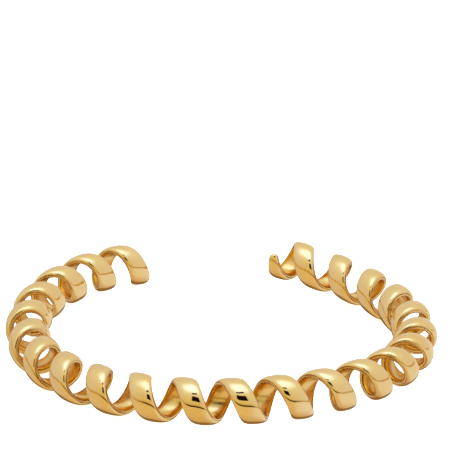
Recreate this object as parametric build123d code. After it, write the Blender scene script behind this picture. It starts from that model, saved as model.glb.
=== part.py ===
from build123d import *
import math
import os

# An open cuff for the wrist: one softly domed metal ribbon with a nearly flat back, wound as a
# right-handed coil whose axis runs round a nearly circular ring with an opening at the back.
# X is the width across the wrist, the opening faces +Y and the cuff rests on Z = 0.

# Sizes, in millimetres.
inner_width = 57.0      # clear width of the wrist opening, along X
inner_depth = 54.1      # clear depth of the wrist opening, along Y
coil_diameter = 7.4     # over the crowns of the wound ribbon
ribbon_width = 3.6      # across the ribbon, at right angles to its run
ribbon_thickness = 1.4  # from the middle of the inner wall to the top of the crown
inner_rise = 0.55       # how far the inner wall curves up from its middle to its edges
side_wall = 0.11        # straight side, between the inner wall's edge and the crown's shoulder
end_spacing = 23.52     # between the middles of the coil's two ends, across the opening
spring_lift = 1.50      # the cuff is sprung: its front and its ends stand higher than its sides
end_twist = 0.90        # the left end is bent down and the right end up by this much
left_tip_width = 2.8    # the ribbon's ends are trimmed on the side towards the opening
left_tip_trim = 2.4     # how far along the ribbon that trim reaches
left_tip_radius = 0.8   # corners of the left end
right_tip_width = 1.4   # the right end is a narrower tongue
right_tip_trim = 7.0
right_tip_radius = 0.49

# Windings and angles, in turns and degrees.
coil_turns = 23.264     # from one end of the ribbon to the other
start_phase = 252.0     # where the left end stands on the coil: 0 faces outward, 90 is up
opening_turn = -0.21    # where the middle of the opening stands, counterclockwise from +Y
spring_turn = 16.3      # where the low sides stand on the ring, counterclockwise from +X

# Shape of the rounded crown and inner wall: 2 is an ellipse, more is squarer at the shoulders.
crown_fullness = 2.5
inner_fullness = 3.0    # so the inner wall is nearly flat in its middle
trim_ease = 1.5         # 1 trims an end along a straight line, more eases into it
twist_gather = 9        # 1 bends the twist evenly round the ring, more keeps it near the ends
widest_corner = 0.35    # largest share of an end's width that one corner may take

# How finely the curves are laid out.
crown_strips = 8        # strips across the crown
inner_strips = 5        # strips across the inner wall
spans_per_turn = 2      # faces along each strip, per winding
span_steps = 6          # points of a rail in one span
tip_steps = 6           # points of a rail round the end's corner

coil_radius = coil_diameter / 2
mid_radius = coil_radius - ribbon_thickness / 2
ring_x = inner_width / 2 + coil_radius
ring_y = inner_depth / 2 + coil_radius
edge_height = inner_rise + side_wall

# The ring's centreline is an ellipse, run counterclockwise from the left end to the right.
opening_half = math.asin(end_spacing / 2 / ring_x)
opening_middle = math.radians(90 + opening_turn)
ring_first = opening_middle + opening_half
ring_last = opening_middle + 2 * math.pi - opening_half

# Length along so round an ellipse follows from its mean radius and its flattening.
mean_radius = math.hypot(ring_x, ring_y) / math.sqrt(2)
flattening = (ring_x**2 - ring_y**2) / (ring_x**2 + ring_y**2)


def ring_length(angle):
    return mean_radius * (angle - flattening / 4 * math.sin(2 * angle))


ring_start = ring_length(ring_first)
turn_rate = 2 * math.pi * coil_turns / (ring_length(ring_last) - ring_start)
ribbon_run = math.hypot(1, turn_rate * mid_radius)  # ribbon per length of the centreline
ribbon_length = ribbon_run * (ring_length(ring_last) - ring_start)


def ring_frame(angle):
    """Speed along the centreline, and its bend, at one place of the ellipse."""
    speed = math.hypot(ring_x * math.sin(angle), ring_y * math.cos(angle))
    return speed, ring_x * ring_y / speed**3


def lift(angle):
    """How far one place of the centreline is sprung up from the level of the low sides."""
    spring = spring_lift * math.sin(angle - math.radians(spring_turn)) ** 2
    side = (2 * angle - ring_first - ring_last) / (ring_last - ring_first)
    return spring + end_twist * math.copysign(abs(side) ** twist_gather, side)


def ribbon_point(angle, across, height):
    """A point of the ribbon: across its width from the middle, height over its inner wall."""
    radius = coil_radius - ribbon_thickness + height
    phase = math.radians(start_phase) - turn_rate * (ring_length(angle) - ring_start)
    phase += across / (mid_radius * ribbon_run)
    speed, bend = ring_frame(angle)
    advance = across * turn_rate * mid_radius / ribbon_run
    # The ribbon keeps its width on the inside and the outside of the ring.
    angle += advance / (1 + bend * radius * math.cos(phase)) / speed
    speed, bend = ring_frame(angle)
    outward = radius * math.cos(phase) / speed
    return Vector(
        (ring_x + outward * ring_y) * math.cos(angle),
        (ring_y + outward * ring_x) * math.sin(angle),
        coil_radius + radius * math.sin(phase) + lift(angle),
    )


def squared_quarter(strips, fullness):
    """Corners of a squared ellipse from its side to its middle, as shares of its reach and rise."""
    turns = [math.pi * step / strips for step in range(strips // 2 + 1)]
    power = 2 / fullness
    return [(max(math.cos(turn), 0) ** power, math.sin(turn) ** power) for turn in turns]


def half_section():
    """Corners of the ribbon's section from its inner wall out and up to the crown's middle.

    Each is a share of the ribbon's half width and a height over the middle of its inner wall.
    """
    inner_wall = squared_quarter(inner_strips, inner_fullness)[::-1]
    crown = squared_quarter(crown_strips, crown_fullness)
    return [(share, inner_rise * (1 - rise)) for share, rise in inner_wall] + [
        (share, edge_height + (ribbon_thickness - edge_height) * rise) for share, rise in crown
    ]


right_side = [(1, *corner) for corner in half_section()]
left_side = [(-1, *corner) for corner in reversed(half_section()[:-1])]
section = right_side + left_side


def trim(run, tip_width, reach):
    """Width taken off the side towards the opening, at a run along the ribbon from its end."""
    return (ribbon_width - tip_width) * max(0, 1 - run / reach) ** trim_ease


def rail_point(corner, angle, rounding=0, crown_share=1):
    """A section corner's place, where rounding is what an end's corner takes off each side."""
    side, share, height = corner
    run = ribbon_run * (ring_length(angle) - ring_start)
    left_trim = trim(run, left_tip_width, left_tip_trim)
    right_trim = trim(ribbon_length - run, right_tip_width, right_tip_trim)
    half_width = (ribbon_width - left_trim - right_trim) / 2 - rounding
    across = (left_trim - right_trim) / 2 + side * half_width * share
    low = min(height, edge_height)
    return ribbon_point(angle, across, low + (height - low) * crown_share)


def end_stations(end_angle, inward, radius, tip_width):
    """Places round an end's corners, from its flat tip to where they are done."""
    radius = min(radius, tip_width * widest_corner)
    reach = inward * radius / ribbon_run / mean_radius
    turns = [math.pi / 2 * step / tip_steps for step in range(tip_steps + 1)]
    return [
        (end_angle + reach * (1 - math.cos(turn)), radius * (1 - math.sin(turn)), math.sin(turn))
        for turn in turns
    ]


# Stations along the ribbon: round the left end's corners, along the windings, the right end.
left_end = end_stations(ring_first, 1, left_tip_radius, left_tip_width)
right_end = end_stations(ring_last, -1, right_tip_radius, right_tip_width)[::-1]
body_first = left_end[-1][0]
body_last = right_end[0][0]
span_count = round(coil_turns * spans_per_turn)
span_angle = (body_last - body_first) / span_count


def span_stations(span):
    """Places along one span of the windings."""
    steps = [span + step / span_steps for step in range(span_steps + 1)]
    return [(body_first + span_angle * step,) for step in steps]


body_spans = [span_stations(span) for span in range(span_count)]


def rail(corner, stations, smooth):
    """One long edge of the ribbon over a span, running on smoothly into the next."""
    points = [rail_point(corner, *station) for station in stations]
    if not smooth:
        return Edge.make_spline(points)
    places = [station[0] for station in stations]
    nudge = span_angle / span_steps / 100
    tangents = [
        (rail_point(corner, place + nudge) - rail_point(corner, place - nudge)) / (2 * nudge)
        for place in (places[0], places[-1])
    ]
    return Edge.make_spline(points, tangents, parameters=places, scale=False)


def span_faces(stations, smooth=True):
    rails = [rail(corner, stations, smooth) for corner in section]
    return [
        Face.make_surface_from_curves(edge, rails[place - 1])
        for place, edge in enumerate(rails)
    ]


def end_faces(station):
    """The flat of a rounded end, as small triangles about its middle."""
    corners = [rail_point(corner, *station) for corner in section]
    middle = sum(corners, Vector()) / len(corners)
    return [
        Face(Wire.make_polygon([middle, corners[place - 1], corner], close=True))
        for place, corner in enumerate(corners)
    ]


faces = []
for stations in body_spans:
    faces += span_faces(stations)
for stations, tip in ((left_end, left_end[0]), (right_end, right_end[-1])):
    faces += span_faces(stations, smooth=False) + end_faces(tip)

# Of the two ways that the closed shell can face, the solid takes the one that faces outward.
shell = Shell(faces)
ribbon = max((Solid(side) for side in (shell, -shell)), key=lambda solid: solid.volume)
box = ribbon.bounding_box()
coil_ribbon = Pos(-box.center().X, -box.center().Y, -box.min.Z) * ribbon

print("coil_ribbon", "volume", round(coil_ribbon.volume, 2), "valid", coil_ribbon.is_valid)
print("ribbon length", round(ribbon_length, 1))
print("moved by", -box.center().X, -box.center().Y, -box.min.Z)

os.makedirs("parts", exist_ok=True)
export_step(coil_ribbon, "parts/coil_ribbon.step")
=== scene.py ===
import math

import bpy
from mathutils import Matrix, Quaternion, Vector


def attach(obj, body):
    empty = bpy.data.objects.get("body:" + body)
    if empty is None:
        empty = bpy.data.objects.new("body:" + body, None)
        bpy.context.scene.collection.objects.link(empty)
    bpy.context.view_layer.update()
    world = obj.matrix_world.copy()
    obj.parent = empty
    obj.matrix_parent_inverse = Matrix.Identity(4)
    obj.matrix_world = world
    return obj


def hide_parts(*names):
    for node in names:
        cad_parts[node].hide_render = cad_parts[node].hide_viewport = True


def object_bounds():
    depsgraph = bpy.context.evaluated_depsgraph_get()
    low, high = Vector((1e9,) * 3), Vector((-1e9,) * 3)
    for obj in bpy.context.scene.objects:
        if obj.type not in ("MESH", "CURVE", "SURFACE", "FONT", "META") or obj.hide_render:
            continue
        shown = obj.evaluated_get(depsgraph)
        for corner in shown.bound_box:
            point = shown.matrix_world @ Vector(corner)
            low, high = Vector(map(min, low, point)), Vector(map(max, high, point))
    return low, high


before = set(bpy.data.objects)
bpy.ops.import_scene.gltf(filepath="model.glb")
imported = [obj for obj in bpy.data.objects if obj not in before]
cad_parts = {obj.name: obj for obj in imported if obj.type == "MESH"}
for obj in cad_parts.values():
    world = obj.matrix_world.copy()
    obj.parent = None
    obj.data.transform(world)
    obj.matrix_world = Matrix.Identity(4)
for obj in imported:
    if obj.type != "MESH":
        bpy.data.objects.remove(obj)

cad_box = [list(corner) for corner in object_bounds()]

# The cuff itself: one domed brass ribbon with a nearly flat back, wound as a right-handed coil
# round a mandrel and then bent round the wrist. Its two ends are trimmed and rounded, and the
# whole is gold plated and buffed to a mirror, except the inner wall, which no wheel can reach.

ribbon_sizes = {
    "Inner Width": 0.0570,
    "Inner Depth": 0.0541,
    "Coil Diameter": 0.0074,
    "Ribbon Width": 0.0036,
    "Ribbon Thickness": 0.0014,
    "Inner Rise": 0.00055,
    "Side Wall": 0.00011,
    "End Spacing": 0.02352,
    "Spring Lift": 0.00150,
    "End Twist": 0.00090,
    "Left Tip Width": 0.0028,
    "Left Tip Trim": 0.0024,
    "Left Tip Radius": 0.0008,
    "Right Tip Width": 0.0014,
    "Right Tip Trim": 0.0070,
    "Right Tip Radius": 0.00049,
    "Hand Finish": 0.000012,
    "Finish Spacing": 0.0030,
}
ribbon_shape = {
    "Windings": 23.264,
    "Start Angle": math.radians(252.0),
    "Opening Turn": math.radians(-0.21),
    "Spring Turn": math.radians(16.3),
    "Twist Gather": 9.0,
    "Crown Fullness": 2.5,
    "Inner Fullness": 3.0,
    "Trim Ease": 1.5,
}
ribbon_counts = {
    "Columns": 1450,
    "Tip Columns": 9,
    "Inner Rows": 8,
    "Side Rows": 1,
    "Crown Rows": 8,
    "Seed": 7,
}
ribbon_values = ribbon_sizes | ribbon_shape | ribbon_counts
# The ring's middle, from the origin, which is the middle of the cuff's box at its foot.
ring_centre = Vector((0.0000301, 0.0018852, -0.0000046))
weld_distance = 0.000001

winding = bpy.data.node_groups.new("wound_ribbon", "GeometryNodeTree")
winding.is_modifier = True
winding.interface.new_socket("Geometry", in_out="OUTPUT", socket_type="NodeSocketGeometry")
nodes_per_column = 12
node_width = 220
node_height = 170


def add_node(tree, kind, **settings):
    """A node in the tree, laid out in columns in the order that they are made."""
    node = tree.nodes.new(kind)
    column, row = divmod(len(tree.nodes), nodes_per_column)
    node.location = (column * node_width, -row * node_height)
    for name, value in settings.items():
        setattr(node, name, value)
    return node


class Term:
    """A number in a node tree, written in a formula like a plain number."""

    def __init__(self, socket):
        self.socket = socket

    def __add__(self, other):
        return calc("ADD", self, other)

    def __sub__(self, other):
        return calc("SUBTRACT", self, other)

    def __mul__(self, other):
        return calc("MULTIPLY", self, other)

    def __truediv__(self, other):
        return calc("DIVIDE", self, other)

    def __pow__(self, other):
        return calc("POWER", self, other)

    def __rsub__(self, other):
        return calc("SUBTRACT", other, self)

    def __rtruediv__(self, other):
        return calc("DIVIDE", other, self)

    __radd__ = __add__


def plug(tree, value, socket):
    """Links a term or an output to an input socket, or sets a plain value on it."""
    value = value.socket if isinstance(value, Term) else value
    if isinstance(value, bpy.types.NodeSocket):
        tree.links.new(value, socket)
    else:
        socket.default_value = value


def calc(operation, *values, clamp=False):
    """One Math node in the tree of its terms, with its values plugged in."""
    tree = next(value.socket.id_data for value in values if isinstance(value, Term))
    node = add_node(tree, "ShaderNodeMath", operation=operation, use_clamp=clamp)
    for value, socket in zip(values, node.inputs):
        plug(tree, value, socket)
    return Term(node.outputs[0])


sizes_in = add_node(winding, "NodeGroupInput")
ribbon_inputs = {}
for name, value in ribbon_values.items():
    kind = "NodeSocketInt" if name in ribbon_counts else "NodeSocketFloat"
    socket = winding.interface.new_socket(name, in_out="INPUT", socket_type=kind)
    socket.default_value = value
    ribbon_inputs[name] = socket.identifier


def size(name):
    """One of the tree's named inputs."""
    return Term(sizes_in.outputs[name])


# The ring that the coil's axis follows, and the pitch of the windings along it.
quarter = math.pi / 2
coil_radius = size("Coil Diameter") / 2
mid_radius = coil_radius - size("Ribbon Thickness") / 2
ring_x = size("Inner Width") / 2 + coil_radius
ring_y = size("Inner Depth") / 2 + coil_radius
opening_half = calc("ARCSINE", size("End Spacing") / 2 / ring_x)
opening_middle = size("Opening Turn") + quarter
ring_first = opening_middle + opening_half
ring_last = opening_middle + 2 * math.pi - opening_half
square_sum = ring_x * ring_x + ring_y * ring_y
mean_radius = calc("SQRT", square_sum / 2)
flattening = (ring_x * ring_x - ring_y * ring_y) / square_sum


def ring_length(angle):
    """Length along the ring's centreline up to an angle of its ellipse."""
    return mean_radius * (angle - flattening / 4 * calc("SINE", angle * 2))


ring_start = ring_length(ring_first)
ring_run = ring_length(ring_last) - ring_start
turn_rate = size("Windings") * (2 * math.pi) / ring_run
climb = turn_rate * mid_radius
ribbon_run = calc("SQRT", climb * climb + 1)
ribbon_length = ribbon_run * ring_run

# A plain grid carries the ribbon: its columns run along the ribbon and its rows round the section.
# Half a step more keeps a column's first point out of the column before it.
half_step = 0.5
columns = size("Columns")
last_column = columns - 1
half_rows = size("Inner Rows") + size("Side Rows") + size("Crown Rows")
section_rows = half_rows * 2 + 1
grid = add_node(winding, "GeometryNodeMeshGrid")
plug(winding, columns, grid.inputs["Vertices X"])
plug(winding, section_rows, grid.inputs["Vertices Y"])
index = Term(add_node(winding, "GeometryNodeInputIndex").outputs[0])
column = calc("FLOOR", (index + half_step) / section_rows)
row = index - column * section_rows

# Stations: a pole in the middle of each flat tip, then round the tip's corners, then the body.
left_turn = calc("DIVIDE", column - 1, size("Tip Columns"), clamp=True) * quarter
right_turn = calc("DIVIDE", last_column - 1 - column, size("Tip Columns"), clamp=True) * quarter
body_columns = last_column - 2 - size("Tip Columns") * 2
body_share = calc("DIVIDE", column - 1 - size("Tip Columns"), body_columns, clamp=True)
left_reach = size("Left Tip Radius") / ribbon_run / mean_radius
right_reach = size("Right Tip Radius") / ribbon_run / mean_radius
body_angle = ring_last - ring_first - left_reach - right_reach
station = (
    ring_first
    + left_reach * (1 - calc("COSINE", left_turn))
    + body_angle * body_share
    + right_reach * calc("COSINE", right_turn)
)
corner_cut = (
    size("Left Tip Radius") * (1 - calc("SINE", left_turn))
    + size("Right Tip Radius") * (1 - calc("SINE", right_turn))
)
crown_share = calc("SINE", left_turn) * calc("SINE", right_turn)
left_pole = calc("COMPARE", column, 0, half_step)
right_pole = calc("COMPARE", column, last_column, half_step)
pole = left_pole + right_pole
face_share = 1 - pole

# The ends are trimmed narrower on the side towards the opening.
run = ribbon_run * (ring_length(station) - ring_start)


def trim(run_from_end, tip):
    """Width taken off one side of the ribbon, at a run from its end."""
    left_over = calc("MAXIMUM", 1 - run_from_end / size(tip + " Trim"), 0)
    return (size("Ribbon Width") - size(tip + " Width")) * left_over ** size("Trim Ease")


left_trim = trim(run, "Left Tip")
right_trim = trim(ribbon_length - run, "Right Tip")
half_width = (size("Ribbon Width") - left_trim - right_trim) / 2 - corner_cut
middle = (left_trim - right_trim) / 2

# The section, from the middle of the low-domed inner wall out to its edge, up the side wall and
# over the crown, the same on both sides. Both domes are squared ellipses.
step = half_rows - calc("ABSOLUTE", row - half_rows)
side = calc("SIGN", row - half_rows)
crown_at = size("Inner Rows") + size("Side Rows")
inner_turn = calc("DIVIDE", step, size("Inner Rows"), clamp=True) * quarter
wall_share = calc("DIVIDE", step - size("Inner Rows"), size("Side Rows"), clamp=True)
crown_turn = calc("DIVIDE", step - crown_at, size("Crown Rows"), clamp=True) * quarter


def squared(turn_part, fullness):
    """The sine or cosine of a turn, squared up from an ellipse's by the fullness."""
    return calc("MAXIMUM", turn_part, 0) ** (2 / size(fullness))


inner_reach = squared(calc("SINE", inner_turn), "Inner Fullness")
inner_rise = 1 - squared(calc("COSINE", inner_turn), "Inner Fullness")
crown_width = squared(calc("COSINE", crown_turn), "Crown Fullness")
crown_rise = squared(calc("SINE", crown_turn), "Crown Fullness")
edge_height = size("Inner Rise") + size("Side Wall")
height = (
    size("Inner Rise") * inner_rise
    + size("Side Wall") * wall_share
    + (size("Ribbon Thickness") - edge_height) * crown_rise * crown_share
)
reach = half_width * inner_reach
across = middle + side * reach * crown_width * face_share
height = height * face_share + edge_height / 2 * pole

# Hand finishing leaves a faint wave in the crown, about a hundredth of a millimetre deep.
seat = add_node(winding, "ShaderNodeCombineXYZ")
plug(winding, run / size("Finish Spacing"), seat.inputs["X"])
plug(winding, across / size("Finish Spacing"), seat.inputs["Y"])
wave = add_node(winding, "ShaderNodeTexNoise", noise_dimensions="4D")
winding.links.new(seat.outputs[0], wave.inputs["Vector"])
plug(winding, size("Seed"), wave.inputs["W"])
plug(winding, 1.0, wave.inputs["Scale"])
plug(winding, 0.0, wave.inputs["Detail"])
sunk = (Term(wave.outputs[0]) - 1) * size("Hand Finish") * crown_rise * crown_share

# Each point goes to its place on the coil: out from the axis, round it, and along the ring.
radius = coil_radius - size("Ribbon Thickness") + height + sunk
phase = (
    size("Start Angle")
    - turn_rate * (ring_length(station) - ring_start)
    + across / (mid_radius * ribbon_run)
)


def ring_speed(angle):
    """Length of the centreline for each radian of its ellipse's angle."""
    by_x = ring_x * calc("SINE", angle)
    by_y = ring_y * calc("COSINE", angle)
    return calc("SQRT", by_x * by_x + by_y * by_y)


bend = ring_x * ring_y / ring_speed(station) ** 3
advance = across * climb / ribbon_run
# The ribbon keeps its width on the inside and the outside of the ring.
angle = station + advance / (bend * radius * calc("COSINE", phase) + 1) / ring_speed(station)
outward = radius * calc("COSINE", phase) / ring_speed(angle)
place_x = (ring_x + outward * ring_y) * calc("COSINE", angle) + ring_centre.x
place_y = (ring_y + outward * ring_x) * calc("SINE", angle) + ring_centre.y
# The cuff is sprung: its front and its ends stand higher than its sides, and its right end
# is bent up past its left end.
spring = size("Spring Lift") * calc("SINE", angle - size("Spring Turn")) ** 2
end_share = (angle * 2 - ring_first - ring_last) / (ring_last - ring_first)
bent = calc("ABSOLUTE", end_share) ** size("Twist Gather") * calc("SIGN", end_share)
lift = spring + bent * size("End Twist") + ring_centre.z
place_z = coil_radius + radius * calc("SINE", phase) + lift
place = add_node(winding, "ShaderNodeCombineXYZ")
for value, socket in zip((place_x, place_y, place_z), place.inputs):
    plug(winding, value, socket)


def store(mesh, name, value, kind, domain):
    """Keeps a field on the mesh under a name, for the material and later users of the mesh to
    read.
    """
    node = add_node(winding, "GeometryNodeStoreNamedAttribute", data_type=kind, domain=domain)
    plug(winding, mesh, node.inputs["Geometry"])
    plug(winding, name, node.inputs["Name"])
    plug(winding, value, node.inputs["Value"])
    return node.outputs["Geometry"]


laid_out = store(grid.outputs["Mesh"], "UVMap", grid.outputs["UV Map"], "FLOAT2", "CORNER")
fields = {"run": run, "across": across, "inner": 1 - wall_share, "height": height}
for name, field in fields.items():
    laid_out = store(laid_out, name, field, "FLOAT", "POINT")
wound = add_node(winding, "GeometryNodeSetPosition")
plug(winding, laid_out, wound.inputs["Geometry"])
plug(winding, place.outputs[0], wound.inputs["Position"])
closed = add_node(winding, "GeometryNodeMergeByDistance")
plug(winding, wound.outputs[0], closed.inputs["Geometry"])
plug(winding, weld_distance, closed.inputs["Distance"])
smooth = add_node(winding, "GeometryNodeSetShadeSmooth")
plug(winding, closed.outputs[0], smooth.inputs["Geometry"])
whole = add_node(winding, "GeometryNodeRealizeInstances")
plug(winding, smooth.outputs[0], whole.inputs["Geometry"])
plated = add_node(winding, "GeometryNodeSetMaterial")
plug(winding, whole.outputs[0], plated.inputs["Geometry"])
winding_out = add_node(winding, "NodeGroupOutput")
plug(winding, plated.outputs[0], winding_out.inputs[0])

# The plating: mirror bright on the crown, and left as it came from the drawing die on the inner
# wall. Thin brown lines below and above the side wall and dark blots on the inner wall are painted
# shade, standing in for the dark reflections there. The inner wall is painted a warmer gold, its
# edges a deep orange and the side wall orange, as painted reflections of the gold round them.
plate = (0.94, 0.72, 0.34)
deep_plate = (0.92, 0.63, 0.23)
pale_plate = (0.96, 0.77, 0.43)
# Painted reflection: the inner wall's gold is made warmer, standing in for light bounced between
# the windings.
inner_bounce_gold = (0.97, 0.73, 0.28)
# Painted reflection: a deep orange towards the inner wall's edges, standing in for the gold
# mirrored there.
inner_edge_bounce_orange = (0.78, 0.34, 0.01)
# Painted reflection: orange on the side wall, standing in for the neighbouring windings that it
# mirrors.
rim_bounce_orange = (0.92, 0.58, 0.14)
# Painted shade: a dark brown that stands in for the dark reflections along the side wall and on
# the inner wall.
shade_brown = (0.24, 0.06, 0.001)
# How far each covers what is under it, in the order that they are laid on, and how much of
# the metal's shine the painted shade takes.
least_even = 0.3
most_even = 0.8
inner_share = 0.8
inner_edge_share = 0.95
rim_share = 0.6
shade_blot_share = 0.55
most_painted_shade = 0.95
metal_lost = 0.6
crown_roughness = 0.035
haze_roughness = 0.035
inner_roughness = 0.26
line_roughness = 0.20
# The two lines of painted shade, by their height over the middle of the inner wall, and what is
# left of them where they are faint.
line_heights = (0.00034, 0.00072)
line_half = 0.00008
line_soft = 0.00006
line_left = 0.35
# Fine scratches along the ribbon, and the part that the crown and the inner wall have of them.
scratch_strength = 0.25
scratch_depth = 0.00001
crown_scratches = 0.12
inner_scratches = 0.4
inner_specks = 0.05
# The inner wall reads the noise at another place than the crown over it.
inner_shift = 7

gold = bpy.data.materials.new("buffed_gold_plate")
gold.use_nodes = True
gold_tree = gold.node_tree
gold_shader = gold_tree.nodes["Principled BSDF"]


def fade(value, none_at, full_at):
    """A smooth step of a value, from 0 at one limit to 1 at the other."""
    node = add_node(value.socket.id_data, "ShaderNodeMapRange", interpolation_type="SMOOTHSTEP")
    for part, socket in zip((value, none_at, full_at), node.inputs):
        plug(value.socket.id_data, part, socket)
    return Term(node.outputs[0])


def between(value, low, high, edge):
    """1 from low to high, falling to 0 within the edge on each side."""
    return fade(value, low - edge, low) * (1 - fade(value, high, high + edge))


def tint(share, base, over):
    """One colour laid over another by a share."""
    tree = share.socket.id_data
    node = add_node(tree, "ShaderNodeMix", data_type="RGBA")
    plug(tree, share, node.inputs["Factor"])
    for value, name in ((base, "A"), (over, "B")):
        socket = next(i for i in node.inputs if i.name == name and i.type == "RGBA")
        plug(tree, value if isinstance(value, bpy.types.NodeSocket) else (*value, 1), socket)
    return next(o for o in node.outputs if o.type == "RGBA")


def seen(name):
    """One of the ribbon's own fields, as the material reads it."""
    node = add_node(gold_tree, "ShaderNodeAttribute", attribute_name=name)
    return Term(node.outputs["Fac"])


def grain(along, over, detail=2.0):
    """Noise on the ribbon, from 0 to 1, with one length along its run and one across it."""
    seat = add_node(gold_tree, "ShaderNodeCombineXYZ")
    plug(gold_tree, seen("run") / along, seat.inputs["X"])
    plug(gold_tree, seen("across") / over, seat.inputs["Y"])
    plug(gold_tree, seen("inner") * inner_shift, seat.inputs["Z"])
    node = add_node(gold_tree, "ShaderNodeTexNoise")
    gold_tree.links.new(seat.outputs[0], node.inputs["Vector"])
    plug(gold_tree, 1.0, node.inputs["Scale"])
    plug(gold_tree, detail, node.inputs["Detail"])
    return Term(node.outputs[0])


inner = seen("inner")
height_here = seen("height")
haze = grain(along=0.0040, over=0.0015)
streaks = grain(along=0.0040, over=0.00010)
specks = grain(along=0.00025, over=0.00018, detail=3.0)
clouds = grain(along=0.0090, over=0.0060)
stretches = grain(along=0.0045, over=0.0100)
patches = grain(along=0.0016, over=0.00045)

# Where the painted shade and the painted warmer reflections lie. Specks break the lines, and in
# some stretches they are faint.
line = sum(
    between(height_here, at - line_half, at + line_half, line_soft) for at in line_heights
)
line_strength = fade(stretches, none_at=0.44, full_at=0.58) * (1 - line_left) + line_left
line = line * fade(specks, none_at=0.25, full_at=0.55) * line_strength
# Where the painted orange reflection lies on the side wall and the foot of the crown.
rim = between(height_here, low=0.00040, high=0.00070, edge=0.00012) * (1 - inner)
# Where the painted orange reflection lies on the inner wall.
inner_edge = inner * between(height_here, low=0.00009, high=0.00030, edge=0.00009)
off_middle = fade(height_here, none_at=0.00002, full_at=0.00020)
shade_blots = fade(patches, none_at=0.56, full_at=0.68) * off_middle * inner
# The painted shade: the dark lines and the dark blots together.
painted_shade = calc("MINIMUM", line + shade_blots * shade_blot_share, most_painted_shade)

even = fade(haze, none_at=0.30, full_at=0.70) * (most_even - least_even) + least_even
colour = tint(fade(clouds, none_at=0.25, full_at=0.75), deep_plate, pale_plate)
colour = tint(even, colour, plate)
colour = tint(inner * inner_share, colour, inner_bounce_gold)
colour = tint(inner_edge * inner_edge_share, colour, inner_edge_bounce_orange)
colour = tint(rim * rim_share, colour, rim_bounce_orange)
colour = tint(painted_shade, colour, shade_brown)
plug(gold_tree, colour, gold_shader.inputs["Base Color"])
plug(gold_tree, 1 - painted_shade * metal_lost, gold_shader.inputs["Metallic"])
plug(gold_tree, 0.0, gold_shader.inputs["Specular IOR Level"])
roughness = (
    fade(haze, none_at=0.35, full_at=0.85) * haze_roughness
    + inner * (inner_roughness - crown_roughness)
    + line * line_roughness
    + crown_roughness
)
plug(gold_tree, roughness, gold_shader.inputs["Roughness"])
scratches = streaks * (inner * inner_scratches + crown_scratches) + specks * inner * inner_specks
scratched = add_node(gold_tree, "ShaderNodeBump")
plug(gold_tree, scratch_strength, scratched.inputs["Strength"])
plug(gold_tree, scratch_depth, scratched.inputs["Distance"])
plug(gold_tree, scratches, scratched.inputs["Height"])
plug(gold_tree, scratched.outputs[0], gold_shader.inputs["Normal"])
plug(winding, gold, plated.inputs["Material"])

blank = bpy.data.objects.new("ribbon_blank", bpy.data.meshes.new("ribbon_blank"))
bpy.context.scene.collection.objects.link(blank)
winder = blank.modifiers.new("wind", "NODES")
winder.node_group = winding
for name, value in ribbon_values.items():
    winder[ribbon_inputs[name]] = value
bpy.context.view_layer.update()
wound_mesh = bpy.data.meshes.new_from_object(
    blank.evaluated_get(bpy.context.evaluated_depsgraph_get())
)
wound_mesh.name = "coil_ribbon_gold"
coil = bpy.data.objects.new("coil_ribbon_gold", wound_mesh)
bpy.context.scene.collection.objects.link(coil)
bpy.data.objects.remove(blank)
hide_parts("coil_ribbon")
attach(coil, "root")

# The floor, a wide opal sheet that the cuff lies on, lit from below, so that only a faint shadow
# is left under the cuff. The gold mirrors the studio's own lower half instead of it.
floor_radius = 0.9
floor_sides = 96
opal_white = (0.95, 0.95, 0.95, 1)
opal_glow = (1, 1, 1, 1)
glow_strength = 0.8
floor_turns = [2 * math.pi * corner / floor_sides for corner in range(floor_sides)]
floor_rim = [
    (floor_radius * math.cos(turn), floor_radius * math.sin(turn), 0) for turn in floor_turns
]
floor_mesh = bpy.data.meshes.new("floor")
floor_mesh.from_pydata(floor_rim, [], [tuple(range(floor_sides))])
floor = bpy.data.objects.new("floor", floor_mesh)
bpy.context.scene.collection.objects.link(floor)
opal = bpy.data.materials.new("opal_sheet")
opal.use_nodes = True
opal_shader = opal.node_tree.nodes["Principled BSDF"]
opal_shader.inputs["Base Color"].default_value = opal_white
opal_shader.inputs["Roughness"].default_value = 1.0
opal_shader.inputs["Specular IOR Level"].default_value = 0.0
opal_shader.inputs["Emission Color"].default_value = opal_glow
opal_shader.inputs["Emission Strength"].default_value = glow_strength
floor_mesh.materials.append(opal)
floor.visible_glossy = False

# The studio is a pale tent: cream walls, a bright top and a warm sheet in front, with a dark slit
# along the sheet's far edge and a dark opening and seam above it, which every winding mirrors.
# Bearings are 0 towards the camera and more to its right, and like elevations in degrees.
camera_azimuth = 0.11923
studio = bpy.data.worlds.new("studio")
bpy.context.scene.world = studio
studio.use_nodes = True
sky = studio.node_tree
around = add_node(sky, "ShaderNodeTexCoord")
facing = add_node(sky, "ShaderNodeVectorRotate", rotation_type="Z_AXIS")
plug(sky, camera_azimuth, facing.inputs["Angle"])
plug(sky, around.outputs["Generated"], facing.inputs["Vector"])
direction = add_node(sky, "ShaderNodeSeparateXYZ")
plug(sky, facing.outputs[0], direction.inputs[0])
rightward, backward, upward = (Term(output) for output in direction.outputs)
elevation = calc("DEGREES", calc("ARCSINE", upward))
bearing = calc("DEGREES", calc("ARCTAN2", rightward, backward * -1))
aside = calc("ABSOLUTE", bearing)


def turned_from(bearing_there, elevation_there):
    """Degrees between a direction and the one given by its bearing and elevation."""
    over, up = math.radians(bearing_there), math.radians(elevation_there)
    cosine = rightward * (math.sin(over) * math.cos(up))
    cosine = cosine - backward * (math.cos(over) * math.cos(up)) + upward * math.sin(up)
    return calc("DEGREES", calc("ARCCOSINE", cosine))


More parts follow.
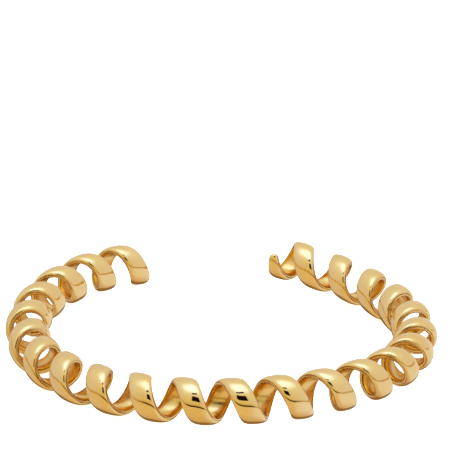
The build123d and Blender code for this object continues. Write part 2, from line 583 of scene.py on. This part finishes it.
# The wall is cream, warmer low down and greyer to both sides, and goes over into the roof.
low_wall = (0.56, 0.40, 0.09)
front_wall = (0.76, 0.63, 0.31)
left_wall = (0.74, 0.69, 0.65)
right_wall = (0.78, 0.72, 0.64)
roof = (0.86, 0.86, 0.73)
bright_top = (1.22, 1.46, 2.05)
from_top = turned_from(bearing_there=145, elevation_there=88)
wall = tint(fade(elevation, none_at=0, full_at=16), low_wall, front_wall)
wall = tint(fade(bearing, none_at=-20, full_at=-100), wall, left_wall)
wall = tint(fade(bearing, none_at=2, full_at=70), wall, right_wall)
wall = tint(fade(elevation, none_at=20, full_at=72), wall, roof)
wall = tint(fade(from_top, none_at=36, full_at=10), wall, bright_top)

# The sheet is greyer to both sides, browner underneath, and in shade behind the cuff.
front_sheet = (0.78, 0.60, 0.305)
right_sheet = (0.83, 0.79, 0.76)
left_sheet = (0.70, 0.61, 0.54)
under_front = (0.72, 0.51, 0.29)
under_back = (0.52, 0.37, 0.22)
shade = (0.30, 0.17, 0.05)
from_shade = turned_from(bearing_there=-173, elevation_there=-49)
under = tint(fade(aside, none_at=60, full_at=170), under_front, under_back)
sheet = tint(fade(bearing, none_at=5, full_at=52), front_sheet, right_sheet)
sheet = tint(fade(bearing, none_at=-40, full_at=-120), sheet, left_sheet)
sheet = tint(fade(elevation, none_at=-40, full_at=-80), sheet, under)
sheet = tint(fade(from_shade, none_at=37, full_at=24), sheet, shade)

# The sheet's far edge is brown to both sides and almost black in front, where the slit is.
edge_brown = (0.44, 0.24, 0)
edge_share = 0.6
slit_black = (0.03, 0.004, 0)
slit_share = 0.98
at_edge = between(elevation, low=-3.9, high=2.1, edge=1.6)
beside_slit = between(aside, low=50, high=110, edge=30) * at_edge
slit = between(bearing, low=-24, high=24, edge=28) * at_edge
studio_light = tint(fade(elevation, none_at=-1.5, full_at=1.5), sheet, wall)
studio_light = tint(beside_slit * edge_share, studio_light, edge_brown)
studio_light = tint(slit * slit_share, studio_light, slit_black)

# Above the slit are the opening and the seam, which rises a little to the right.
opening_black = (0.012, 0.004, 0.002)
seam_black = (0.04, 0.015, 0)
seam_slope = 0.11
opening_rise = between(elevation, low=26.5, high=48.5, edge=2)
opening = between(bearing, low=-14, high=20, edge=2) * opening_rise
seam_rise = between(elevation - bearing * seam_slope, low=60.8, high=67.1, edge=1.2)
seam = between(bearing, low=-16, high=26, edge=3) * seam_rise
studio_light = tint(opening, studio_light, opening_black)
studio_light = tint(seam, studio_light, seam_black)

# The camera itself sees plain white behind the cuff.
backdrop = (1, 1, 1)
straight = Term(add_node(sky, "ShaderNodeLightPath").outputs["Is Camera Ray"])
studio_light = tint(straight, studio_light, backdrop)
plug(sky, studio_light, sky.nodes["Background"].inputs["Color"])

# A soft box hangs over the cuff, a little behind it and to the left. The gold mirrors the
# tent's bright top instead of it.
lamp_width = 0.9
lamp_power = 3.0
lamp_place = Vector((-0.15, 0.1, 1.0))
lamp = bpy.data.objects.new("soft_box", bpy.data.lights.new("soft_box", "AREA"))
lamp.data.shape = "DISK"
lamp.data.size = lamp_width
lamp.data.energy = lamp_power
lamp.location = lamp_place
lamp.rotation_euler = (-lamp_place).to_track_quat("-Z", "Y").to_euler()
lamp.visible_glossy = False
bpy.context.scene.collection.objects.link(lamp)

# The camera stands in front of the cuff, a little to the left, and looks down on it through a
# long lens. Its azimuth is given with the studio, and all its angles are in radians.
camera_distance = 0.43418
camera_elevation = 0.40617
camera_side = -0.00017
camera_rise = 0.03884
camera_roll = 0.02797
frame_pixels = 450
focal_pixels = 2609.1
coil_middle = Vector((ring_centre.x, ring_centre.y, (cad_box[0][2] + cad_box[1][2]) / 2))
eye = coil_middle + camera_distance * Vector((
    -math.cos(camera_elevation) * math.sin(camera_azimuth),
    -math.cos(camera_elevation) * math.cos(camera_azimuth),
    math.sin(camera_elevation),
))
camera = bpy.data.objects.new("camera", bpy.data.cameras.new("camera"))
bpy.context.scene.collection.objects.link(camera)
bpy.context.scene.camera = camera
camera.data.lens = focal_pixels / frame_pixels * camera.data.sensor_width
camera.location = eye
aim = (coil_middle - eye).to_track_quat("-Z", "Y")
turns = (((0, 1, 0), camera_side), ((1, 0, 0), camera_rise), ((0, 0, 1), camera_roll))
for axis, turn in turns:
    aim = aim @ Quaternion(axis, turn)
camera.rotation_euler = aim.to_euler()
bpy.context.scene.view_settings.view_transform = "Standard"
